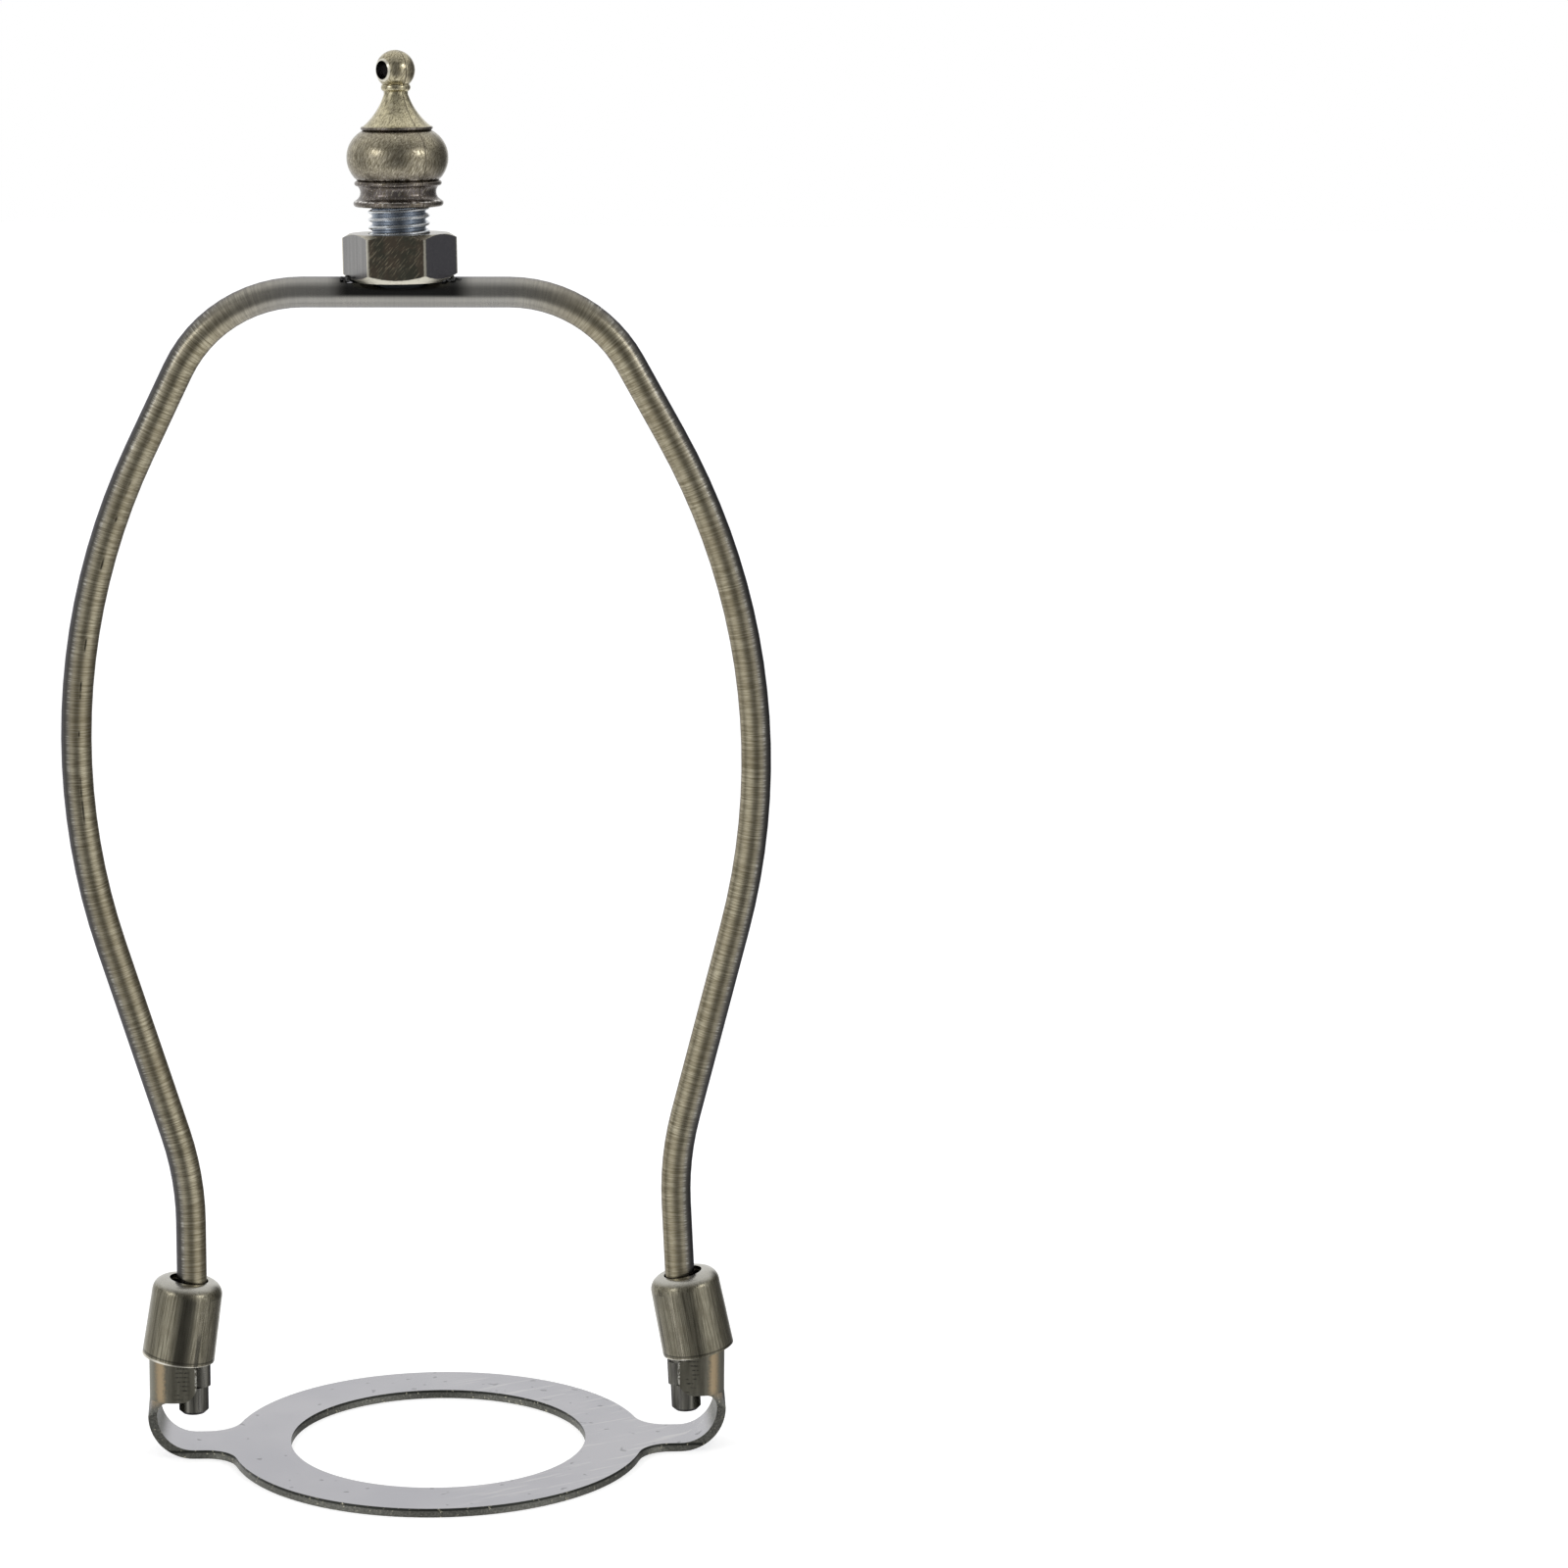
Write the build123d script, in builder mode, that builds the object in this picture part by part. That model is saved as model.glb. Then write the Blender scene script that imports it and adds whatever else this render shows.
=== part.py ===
from build123d import *
from math import cos, radians, sin, tan
import os

# Lamp harp, millimetres. It stands on its saddle ring, with +Z up and the front towards -Y.
# The origin is the centre of the ring's hole, on the underside of the sheet.

# Saddle, stamped and folded from one sheet
sheet = 1.2
ring_bore = 40.0
ring_diameter = 56.0
arm_width = 7.8
arm_fillet = 4.5
ear_span = 77.9
bend_radius = 4.9
ear_gap = 4.4
ear_depth = 6.5
ear_corner = 3.3
flange_start = 7.65
ear_shoulder = 12.7
ear_top = 15.3
tongue_depth = 4.35
edge_corner = 0.8
flange_toe = 2.3
blank_corner = 0.2
crease_radius = 0.05
web_blend = 1.4

# Bow, bent from one round rod
rod_diameter = 4.0
foot_inset = 5.55
waist_pull = 0.9
waist_height = 39.3
waist_radius = 41.4
side_spacing = 102.1
side_height = 105.4
side_radius = 90.0
crown_spacing = 48.6
crown_rise = 51.35
crown_radius = 18.0
foot_height = 5.12
foot_difference = 0.54
foot_length = 3.8
foot_chamfer = 0.45
flat_length = 3.2
flat_width = 4.6
flat_thickness = 3.0
flat_corner = 1.35
weld_depth = 0.65

# The bow leans to its left in the saddle, about a point on the sheet's top face. Its crown leans less.
bow_lean = 1.67
crown_lean = 0.3
lean_pivot_x = 0.5

# Nut and stud on the crown
nut_flats = 12.85
nut_height = 6.25
nut_turn = -3.4
nut_offset = -0.32
nut_lean = 1.1
nut_top_radius = 6.45
nut_weld_radius = 5.6
chamfer_angle = 30.0
stud_diameter = 8.0
stud_length = 15.8
stud_chamfer = 0.6
thread_clearance = 0.05

# Finial, one casting. Heights count from its base.
finial_gap = 3.44
base_radius = 5.25
flange_radius = 5.8
flange_height = 0.8
flange_round = 0.25
groove_radius = 4.9
groove_top = 2.65
groove_flare = 0.35
bead_radius = 5.63
bead_height = 0.65
belly_start_radius = 5.2
belly_radius = 6.55
belly_height = 6.3
belly_end_radius = 4.35
belly_end = 9.75
lip_radius = 4.65
lip_height = 0.5
skirt_middle_radius = 2.45
skirt_middle = 12.4
neck_radius = 1.56
neck_height = 14.3
collar_start = 14.65
collar_radius = 1.9
collar_end_radius = 1.7
collar_end = 15.6
ball_radius = 2.53
ball_height = 17.4
cross_bore = 2.35
cross_turn = -50.0
finial_bore_depth = 8.2
drill_angle = 59.0

# Sleeves, drawn cups that drop over the ears
sleeve_length = 10.9
sleeve_diameter = 9.35
sleeve_flare = 0.2
sleeve_wall = 0.5
sleeve_hole = 5.2
sleeve_shoulder = 1.8
sleeve_tilt = 10.0
sleeve_play = 0.4
sleeve_clearance = 0.2

rod_radius = rod_diameter / 2
ear_reach = ear_span / 2
foot_spacing = ear_span - 2 * foot_inset
waist_spacing = foot_spacing - 2 * waist_pull
crown_height = side_height + crown_rise
ear_width = ear_gap + 2 * sheet
bend_centre_x = ear_reach - sheet - bend_radius
bend_end = sheet + bend_radius


def lean(x, z):
    """Turns a point of the upright bow to where it stands in the saddle."""
    dx, dz = x - lean_pivot_x, z - sheet
    c, s = cos(radians(bow_lean)), sin(radians(bow_lean))
    return lean_pivot_x + c * dx - s * dz, sheet + s * dx + c * dz


def leg_at(side, z):
    """Half spacing of the upright leg's straight end at a height of the upright bow."""
    share = (z - foot_height) / (waist_height - foot_height)
    return side * (foot_spacing + (waist_spacing - foot_spacing) * share) / 2 + lean_pivot_x


def channel(mouth, width, corner, wall):
    """Edges of the ear's folded section, open towards the ring, with its back wall at ear_reach."""
    inner = max(corner - wall, crease_radius)
    back, half = ear_reach, width / 2
    with BuildLine() as section:
        outer = FilletPolyline((mouth, -half), (back, -half), (back, half), (mouth, half), radius=corner)
        inside = FilletPolyline(
            (mouth, half - wall), (back - wall, half - wall),
            (back - wall, wall - half), (mouth, wall - half), radius=inner,
        )
        Line(outer @ 1, inside @ 0)
        Line(inside @ 1, outer @ 0)
    return section.edges()


# Ear, folded up from the end of an arm. The flat arm closes into a channel round the leg.
with BuildPart() as ear:
    with BuildSketch(Plane.XY.offset(bend_end)):
        make_face(channel(ear_reach - 2 * sheet, arm_width, blank_corner, sheet))
    with BuildSketch(Plane.XY.offset(flange_start)):
        make_face(channel(ear_reach - ear_depth, ear_width, ear_corner, sheet))
    loft(ruled=True)
    with BuildSketch(Plane.XY.offset(flange_start)):
        make_face(channel(ear_reach - ear_depth, ear_width, ear_corner, sheet))
    extrude(amount=ear_top - flange_start)
    # The blank's outline seen from the front: web, flange, shoulder and the tongue inside the sleeve
    with BuildSketch(Plane.XZ) as ear_outline:
        with BuildLine():
            Polyline(
                (ear_reach, bend_end), (ear_reach, ear_top), (ear_reach - tongue_depth, ear_top),
                (ear_reach - tongue_depth, ear_shoulder), (ear_reach - ear_depth, ear_shoulder),
                (ear_reach - ear_depth, flange_start), (ear_reach - sheet, flange_start),
                (ear_reach - sheet, bend_end), close=True,
            )
        make_face()
        rounded_corners = (
            (ear_reach - ear_depth, flange_start, flange_toe), (ear_reach - sheet, flange_start, web_blend),
            (ear_reach - ear_depth, ear_shoulder, edge_corner),
            (ear_reach - tongue_depth, ear_shoulder, edge_corner),
            (ear_reach - tongue_depth, ear_top, edge_corner),
        )
        for x, z, corner_round in rounded_corners:
            fillet(ear_outline.vertices().sort_by_distance((x, z))[0], radius=corner_round)
    extrude(amount=arm_width, both=True, mode=Mode.INTERSECT)

with BuildPart() as saddle:
    with BuildSketch() as blank:
        Circle(ring_diameter / 2)
        Rectangle(2 * bend_centre_x, arm_width)
        arm_roots = [v for v in blank.vertices() if abs(v.X) < bend_centre_x - sheet]
        fillet(arm_roots, radius=arm_fillet)
        Circle(ring_bore / 2, mode=Mode.SUBTRACT)
    extrude(amount=sheet)
    for side in (-1, 1):
        # The bend turns the arm up into the ear
        with BuildSketch(Plane.XZ):
            with Locations((side * bend_centre_x, bend_end)):
                Circle(bend_radius + sheet)
                Circle(bend_radius, mode=Mode.SUBTRACT)
            quarter = bend_radius + sheet
            with Locations((side * (bend_centre_x + quarter / 2), bend_end - quarter / 2)):
                Rectangle(quarter, quarter, mode=Mode.INTERSECT)
        extrude(amount=arm_width / 2, both=True)
    add(ear.part)
    add(mirror(ear.part, about=Plane.YZ))

# Bow: both feet, waists, sides and the crown lie on one line of straight runs and tangent arcs
crown_across = (cos(radians(crown_lean)), sin(radians(crown_lean)))
crown_centre = lean(lean_pivot_x, crown_height)

with BuildPart() as bow:
    left_leg, right_leg = [], []
    for side, leg_points in ((-1, left_leg), (1, right_leg)):
        # The left leg is cut a little shorter. The lean would lift the right foot, so that comes off first.
        rise = side * (foot_spacing / 2 * sin(radians(bow_lean)) + foot_difference / 2)
        leg_points.append(lean(leg_at(side, foot_height), foot_height - rise))
        leg_points.append(lean(lean_pivot_x + side * waist_spacing / 2, waist_height))
        leg_points.append(lean(lean_pivot_x + side * side_spacing / 2, side_height))
        along = side * crown_spacing / 2
        crown_end = (crown_centre[0] + along * crown_across[0], crown_centre[1] + along * crown_across[1])
        leg_points.append(crown_end)
    with BuildLine(Plane.XZ) as bow_line:
        FilletPolyline(
            *left_leg, *reversed(right_leg),
            radius=[waist_radius, side_radius, crown_radius, crown_radius, side_radius, waist_radius],
        )
    with BuildSketch(Plane(origin=bow_line.line @ 0, z_dir=bow_line.line % 0)):
        Circle(rod_radius)
    sweep(path=bow_line.line)
    chamfer(bow.faces().sort_by(Axis.Z)[:2].edges().filter_by(GeomType.CIRCLE), length=foot_chamfer)
    for foot, waist in (left_leg[:2], right_leg[:2]):
        # The leg is pressed flat, front and back, just above its round foot
        leg = Plane(
            origin=(foot[0], 0, foot[1]), x_dir=(0, 1, 0), z_dir=(waist[0] - foot[0], 0, waist[1] - foot[1])
        )
        with BuildSketch(leg.offset(foot_length)):
            Rectangle(2 * rod_diameter, 2 * rod_diameter)
        extrude(amount=flat_length, mode=Mode.SUBTRACT)
        with BuildSketch(leg.offset(foot_length)):
            RectangleRounded(flat_thickness, flat_width, flat_corner)
        extrude(amount=flat_length)
    # The weld seat is pressed flat under the nut, which stands a little to the left and leans
    nut_up = Vector(-sin(radians(nut_lean)), 0, cos(radians(nut_lean)))
    nut_across = Vector(nut_up.Z, 0, -nut_up.X)
    crown_top = Vector(crown_centre[0], 0, crown_centre[1]) + nut_up * (rod_radius - weld_depth)
    seat = Plane(origin=crown_top + nut_across * nut_offset, x_dir=nut_across, z_dir=nut_up)
    corner_radius = nut_flats / cos(radians(30)) / 2
    # The seat ends where the nut's chamfer clears the round of the rod, on the side the nut leans to as well
    seat_rise = corner_radius * sin(radians(nut_lean - crown_lean))
    seat_reach = nut_weld_radius + (weld_depth + seat_rise) / tan(radians(chamfer_angle))
    with BuildSketch(seat):
        Rectangle(2 * seat_reach, 2 * rod_diameter)
    extrude(amount=rod_diameter, mode=Mode.SUBTRACT)

with BuildPart() as hex_nut:
    with BuildSketch(seat):
        RegularPolygon(nut_flats / 2, 6, major_radius=False, rotation=nut_turn)
    extrude(amount=nut_height)
    # Both ends are turned to a cone, which leaves curved chamfers on the corners, deeper on the weld side
    nut_axis = Axis(seat.origin, seat.z_dir)
    nut_section = Plane(origin=seat.origin, x_dir=seat.x_dir, z_dir=-seat.y_dir)
    weld_cone = (corner_radius - nut_weld_radius) * tan(radians(chamfer_angle))
    top_cone = (corner_radius - nut_top_radius) * tan(radians(chamfer_angle))
    with BuildSketch(nut_section):
        with BuildLine():
            Polyline(
                (0, 0), (nut_weld_radius, 0), (corner_radius, weld_cone),
                (corner_radius, nut_height - top_cone), (nut_top_radius, nut_height),
                (0, nut_height), close=True,
            )
        make_face()
    revolve(axis=nut_axis, mode=Mode.INTERSECT)
    with BuildSketch(seat):
        Circle(stud_diameter / 2 + thread_clearance)
    extrude(amount=nut_height, mode=Mode.SUBTRACT)

with BuildPart() as threaded_stud:
    with BuildSketch(seat):
        Circle(stud_diameter / 2)
    extrude(amount=stud_length)
    chamfer(threaded_stud.edges().filter_by(GeomType.CIRCLE), length=stud_chamfer)

with BuildPart() as finial:
    finial_base = seat.offset(nut_height + finial_gap)
    finial_section = Plane(origin=finial_base.origin, x_dir=seat.x_dir, z_dir=-seat.y_dir)
    flange_end = (flange_radius - flange_round, flange_height)
    groove_end = (groove_radius + groove_flare, groove_top)
    bead_start = (bead_radius - bead_height / 2, groove_top)
    bead_end = (bead_radius - bead_height / 2, groove_top + bead_height)
    belly_start = (belly_start_radius, groove_top + bead_height)
    lip_start = (belly_end_radius, belly_end)
    lip_end = (belly_end_radius, belly_end + lip_height)
    with BuildSketch(finial_section):
        with BuildLine():
            Line((0, 0), (base_radius, 0))
            ThreePointArc((base_radius, 0), (flange_radius, flange_height / 2), flange_end)
            ThreePointArc(flange_end, (groove_radius, (flange_height + groove_top) / 2), groove_end)
            Line(groove_end, bead_start)
            ThreePointArc(bead_start, (bead_radius, groove_top + bead_height / 2), bead_end)
            Line(bead_end, belly_start)
            ThreePointArc(belly_start, (belly_radius, belly_height), lip_start)
            ThreePointArc(lip_start, (lip_radius, belly_end + lip_height / 2), lip_end)
            ThreePointArc(lip_end, (skirt_middle_radius, skirt_middle), (neck_radius, neck_height))
            Line((neck_radius, neck_height), (neck_radius, collar_start))
            ThreePointArc(
                (neck_radius, collar_start), (collar_radius, (collar_start + collar_end) / 2),
                (collar_end_radius, collar_end),
            )
            Polyline((collar_end_radius, collar_end), (0, collar_end), (0, 0))
        make_face()
    finial_axis = Axis(seat.origin, seat.z_dir)
    revolve(axis=finial_axis)
    ball_centre = finial_base.offset(ball_height)
    with BuildSketch(Plane(origin=ball_centre.origin, x_dir=seat.x_dir, z_dir=-seat.y_dir)):
        Circle(ball_radius)
        with Locations((-ball_radius, 0)):
            Rectangle(2 * ball_radius, 2 * ball_radius, mode=Mode.SUBTRACT)
    revolve(axis=finial_axis)
    # Blind bore for the stud, with the drill's cone at its end
    bore_radius = stud_diameter / 2 + thread_clearance
    with BuildSketch(finial_section):
        with BuildLine():
            drill_tip = finial_bore_depth + bore_radius / tan(radians(drill_angle))
            Polyline(
                (0, 0), (bore_radius, 0), (bore_radius, finial_bore_depth), (0, drill_tip), close=True,
            )
        make_face()
    revolve(axis=finial_axis, mode=Mode.SUBTRACT)
    # Cross hole right through the ball
    cross_way = seat.x_dir * sin(radians(cross_turn)) - seat.y_dir * cos(radians(cross_turn))
    with BuildSketch(Plane(origin=ball_centre.origin, z_dir=cross_way)):
        Circle(cross_bore / 2)
    extrude(amount=2 * ball_radius, both=True, mode=Mode.SUBTRACT)

# Sleeves: each hangs askew round its leg, with its rim over the ear's shoulder
sleeves = {}
for name, side in (("left_sleeve", -1), ("right_sleeve", 1)):
    # The tilt is measured from the leaning bow's own upright
    tilt = sleeve_tilt + side * bow_lean
    up = Vector(-side * sin(radians(tilt)), 0, cos(radians(tilt)))
    leg_x = lean(leg_at(side, ear_shoulder + sleeve_length), ear_shoulder + sleeve_length)[0]
    rim_x = leg_x + side * (sleeve_play + sleeve_length * sin(radians(tilt)))
    mouth_x = ear_reach - ear_depth
    rim_z = ear_shoulder + sleeve_clearance + (abs(rim_x) - mouth_x) * tan(radians(tilt))
    section = Plane(origin=(rim_x, 0, rim_z), x_dir=(up.Z, 0, -up.X), z_dir=(0, -1, 0))
    outside = sleeve_diameter / 2
    inside = outside - sleeve_wall
    with BuildPart() as sleeve:
        with BuildSketch(section) as cup:
            with BuildLine():
                Polyline(
                    (outside + sleeve_flare, 0), (outside, sleeve_length), (sleeve_hole / 2, sleeve_length),
                    (sleeve_hole / 2, sleeve_length - sleeve_wall), (inside, sleeve_length - sleeve_wall),
                    (inside + sleeve_flare, 0), close=True,
                )
            make_face()
            fillet(cup.vertices().sort_by_distance((outside, sleeve_length))[0], radius=sleeve_shoulder)
            hollow = cup.vertices().sort_by_distance((inside, sleeve_length - sleeve_wall))[0]
            fillet(hollow, radius=sleeve_shoulder - sleeve_wall)
        revolve(axis=Axis((rim_x, 0, rim_z), tuple(up)))
    sleeves[name] = sleeve.part

saddle.part.label = "saddle"
bow.part.label = "bow"
hex_nut.part.label = "hex_nut"
threaded_stud.part.label = "threaded_stud"
finial.part.label = "finial"

os.makedirs("parts", exist_ok=True)
export_step(saddle.part, "parts/saddle.step")
export_step(bow.part, "parts/bow.step")
export_step(hex_nut.part, "parts/hex_nut.step")
export_step(threaded_stud.part, "parts/threaded_stud.step")
export_step(finial.part, "parts/finial.step")
for name, solid in sleeves.items():
    solid.label = name
    export_step(solid, f"parts/{name}.step")
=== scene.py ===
import math
import random

import bmesh
import bpy
from mathutils import Matrix, Vector


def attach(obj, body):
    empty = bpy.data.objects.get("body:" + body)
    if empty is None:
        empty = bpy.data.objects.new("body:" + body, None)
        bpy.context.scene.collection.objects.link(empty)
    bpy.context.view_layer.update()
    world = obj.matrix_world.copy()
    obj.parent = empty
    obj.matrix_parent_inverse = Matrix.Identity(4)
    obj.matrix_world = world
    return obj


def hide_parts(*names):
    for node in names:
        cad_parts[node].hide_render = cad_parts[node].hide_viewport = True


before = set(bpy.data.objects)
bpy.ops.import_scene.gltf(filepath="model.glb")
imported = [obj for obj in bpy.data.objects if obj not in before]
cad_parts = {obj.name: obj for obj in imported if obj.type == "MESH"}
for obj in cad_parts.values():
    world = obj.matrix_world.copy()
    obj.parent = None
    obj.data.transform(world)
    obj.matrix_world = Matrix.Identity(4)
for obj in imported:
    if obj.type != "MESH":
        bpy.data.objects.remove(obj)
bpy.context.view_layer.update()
MM = 0.001


# The room
# A flat sheet of white card for the floor, and a soft white tent round it. The tent is dark in front, where
# it is open, and brighter at the sides, so that the plating has bright and dark stripes.

def add(tree, kind, inputs=(), **settings):
    """One node, with its settings, and its sockets filled by plain values or by other nodes' outputs."""
    made = tree.nodes.new(kind)
    for name, value in settings.items():
        setattr(made, name, value)
    for socket, value in dict(inputs).items():
        if isinstance(value, bpy.types.NodeSocket):
            tree.links.new(value, made.inputs[socket])
        else:
            made.inputs[socket].default_value = value
    return made


def sum_of(tree, operation, *values, clamp=False):
    """A Math node's result."""
    return add(tree, "ShaderNodeMath", enumerate(values), operation=operation, use_clamp=clamp).outputs[0]


def between(tree, value, low, high, to_low=0.0, to_high=1.0):
    """The value eased from to_low, at low, to to_high, at high."""
    made = add(tree, "ShaderNodeMapRange", {"Value": value, "From Min": low, "From Max": high,
                                            "To Min": to_low, "To Max": to_high},
               interpolation_type="SMOOTHSTEP")
    return made.outputs["Result"]


def grey_ramp(tree, value, stops):
    """A ramp of plain greys, given as (place, grey) pairs."""
    made = add(tree, "ShaderNodeValToRGB", {"Fac": value})
    ramp = made.color_ramp
    ramp.interpolation = "EASE"
    for place, grey in stops[1:-1]:
        ramp.elements.new(place)
    for element, (place, grey) in zip(ramp.elements, stops):
        element.position = place
        element.color = (grey, grey, grey, 1)
    return made.outputs["Color"]


world = bpy.data.worlds.new("tent")
bpy.context.scene.world = world
world.use_nodes = True
tent = world.node_tree
tent.nodes.clear()
way = add(tent, "ShaderNodeSeparateXYZ", {0: add(tent, "ShaderNodeTexCoord").outputs["Generated"]})
forward = sum_of(tent, "MULTIPLY", way.outputs["Y"], -1.0)
turn = sum_of(tent, "DIVIDE", sum_of(tent, "ARCTAN2", way.outputs["X"], forward), math.pi)
round_tent = sum_of(tent, "MULTIPLY_ADD", turn, 0.5, 0.5)
# Brightness round the horizon, by degrees to the right of the camera, as (degrees, brightness)
wall_lights = (
    (-180, 1.00), (-160, 1.00), (-140, 0.95), (-118, 0.85), (-95, 0.45), (-78, 0.70), (-62, 1.00),
    (-44, 1.00), (-30, 0.70), (-14, 0.30), (6, 0.18), (18, 0.30), (32, 0.75), (44, 1.00), (62, 0.95),
    (80, 0.50), (98, 0.25), (125, 0.15), (148, 0.20), (162, 1.00), (180, 1.00))
# Brightness from under the camera, past its height at 0 degrees and over the top, to the back
arch_lights = (
    (-180, 1.00), (-90, 1.00), (-50, 1.00), (-28, 0.52), (-10, 0.20), (16, 0.14), (40, 0.26),
    (65, 0.55), (94, 0.90), (133, 1.00), (180, 1.00))
walls = grey_ramp(tent, round_tent, [((degrees + 180) / 360, grey) for degrees, grey in wall_lights])
over = sum_of(tent, "DIVIDE", sum_of(tent, "ARCTAN2", way.outputs["Z"], forward), math.pi)
arch = grey_ramp(tent, sum_of(tent, "MULTIPLY_ADD", over, 0.5, 0.5),
                 [((degrees + 180) / 360, grey) for degrees, grey in arch_lights])
rise = sum_of(tent, "ARCSINE", sum_of(tent, "ABSOLUTE", way.outputs["Z"]))
arch_share = between(tent, rise, math.radians(15), math.radians(45))
tent_light = add(tent, "ShaderNodeMix", data_type="RGBA")
for socket, value in ((0, arch_share), (6, walls), (7, arch)):
    tent.links.new(value, tent_light.inputs[socket])
seen = add(tent, "ShaderNodeLightPath")
white = add(tent, "ShaderNodeBackground", {"Color": (1, 1, 1, 1), "Strength": 1.0})
light = add(tent, "ShaderNodeBackground", {"Color": tent_light.outputs[2], "Strength": 1.0})
# The backdrop is white to the camera and, straight behind the harp, to reflections as well
reflected = sum_of(tent, "MAXIMUM", seen.outputs["Is Glossy Ray"], seen.outputs["Is Transmission Ray"])
behind = between(tent, way.outputs["Y"], 0.88, 0.96)
backdrop_share = sum_of(tent, "MAXIMUM", seen.outputs["Is Camera Ray"],
                        sum_of(tent, "MULTIPLY", reflected, behind))
either = add(tent, "ShaderNodeMixShader", {0: backdrop_share, 1: light.outputs[0], 2: white.outputs[0]})
add(tent, "ShaderNodeOutputWorld", {"Surface": either.outputs[0]})

floor_mesh = bpy.data.meshes.new("floor")
floor_front, floor_back, floor_half = -0.42, 3.0, 1.6
floor_level = -0.02 * MM
floor_mesh.from_pydata([(-floor_half, floor_front, floor_level), (floor_half, floor_front, floor_level),
                        (floor_half, floor_back, floor_level), (-floor_half, floor_back, floor_level)],
                       [], [(0, 1, 2, 3)])
floor = bpy.data.objects.new("floor", floor_mesh)
bpy.context.scene.collection.objects.link(floor)
card = bpy.data.materials.new("white_card")
card.use_nodes = True
card_tree = card.node_tree
card_tree.nodes.clear()
card_place = add(card_tree, "ShaderNodeTexCoord")
card_grain = add(card_tree, "ShaderNodeTexNoise",
                 {"Vector": card_place.outputs["Object"], "Scale": 900.0, "Detail": 2.0})
card_colour = add(card_tree, "ShaderNodeMapRange",
                  {"Value": card_grain.outputs[0], "To Min": 0.80, "To Max": 0.84})
card_face = add(card_tree, "ShaderNodeBsdfDiffuse", {"Color": card_colour.outputs[0]})
# The card is lit to white for the camera. Reflections look through it to the tent's own bottom, which is
# white right under the harp and darker towards the front.
card_seen = add(card_tree, "ShaderNodeLightPath")
glow_strength = 0.55
card_glow = add(card_tree, "ShaderNodeEmission", {"Color": (1, 1, 1, 1), "Strength": sum_of(
    card_tree, "MULTIPLY", card_seen.outputs["Is Camera Ray"], glow_strength)})
card_both = add(card_tree, "ShaderNodeAddShader", {0: card_face.outputs[0], 1: card_glow.outputs[0]})
card_reflected = sum_of(card_tree, "MAXIMUM", card_seen.outputs["Is Glossy Ray"],
                        card_seen.outputs["Is Transmission Ray"])
card_open = add(card_tree, "ShaderNodeBsdfTransparent")
card_final = add(card_tree, "ShaderNodeMixShader", {0: card_reflected, 1: card_both.outputs[0],
                                                    2: card_open.outputs[0]})
add(card_tree, "ShaderNodeOutputMaterial", {"Surface": card_final.outputs[0]})
floor_mesh.materials.append(card)

# Two lit panels, each aimed at the middle of the harp
panel_width, panel_tall, panel_power = 0.42, 0.30, 1.2
panel_away, panel_height = 1.1, 0.60
harp_middle = Vector((0, 0, 0.11))
for name, turned in (("left_panel", -54), ("right_panel", 54)):
    panel_light = bpy.data.lights.new(name, "AREA")
    panel_light.shape = "RECTANGLE"
    panel_light.size, panel_light.size_y = panel_width, panel_tall
    panel_light.energy = panel_power
    panel = bpy.data.objects.new(name, panel_light)
    panel.location = (panel_away * math.sin(math.radians(turned)),
                      -panel_away * math.cos(math.radians(turned)), panel_height)
    panel.rotation_euler = (harp_middle - panel.location).to_track_quat("-Z", "Y").to_euler()
    bpy.context.scene.collection.objects.link(panel)

camera_data = bpy.data.cameras.new("camera")
camera_data.sensor_width = 36.0
camera_data.lens = 98.386
camera_place = (1.497, -560.021, 196.049)
camera = bpy.data.objects.new("camera", camera_data)
pitch, yaw, roll = math.radians(10.52844), math.radians(4.56599), math.radians(0.64947)
ahead = Vector((math.sin(yaw) * math.cos(pitch), math.cos(yaw) * math.cos(pitch), -math.sin(pitch)))
level = Vector((math.cos(yaw), -math.sin(yaw), 0))
square = level.cross(ahead)
across = math.cos(roll) * level + math.sin(roll) * square
upright = -math.sin(roll) * level + math.cos(roll) * square
turn_matrix = Matrix((across, upright, -ahead)).transposed().to_4x4()
camera.matrix_world = Matrix.Translation(Vector(camera_place) * MM) @ turn_matrix
bpy.context.scene.collection.objects.link(camera)
bpy.context.scene.camera = camera
bpy.context.scene.view_settings.view_transform = "Standard"


# The saddle
# One stamping of 1.2 mm sheet: a ring that sits round the lampholder, with two arms bent up into folded
# ears. It is plated after it is pressed. Its flat faces are smooth and grey, its cut edges dark and grainy.

def metal(name):
    """A new metal, with its node tree, its shader, a point's place and the way the point faces."""
    made = bpy.data.materials.new(name)
    made.use_nodes = True
    tree = made.node_tree
    tree.nodes.clear()
    shader = add(tree, "ShaderNodeBsdfPrincipled", {"Metallic": 1.0})
    add(tree, "ShaderNodeOutputMaterial", {"Surface": shader.outputs[0]})
    place = add(tree, "ShaderNodeTexCoord")
    return made, tree, shader, place.outputs["Object"], place.outputs["Normal"]


def local(tree, point, origin, lean=0.0, scale=(1, 1, 1)):
    """The point in a frame of its own: its origin in mm, its lean about Y in degrees, and then a scale."""
    turned = add(tree, "ShaderNodeMapping", {"Vector": point, "Location": [v * MM for v in origin],
                                             "Rotation": (0, math.radians(lean), 0)}, vector_type="TEXTURE")
    scaled = add(tree, "ShaderNodeVectorMath", {0: turned.outputs[0], 1: scale}, operation="MULTIPLY")
    return scaled.outputs[0]


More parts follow.
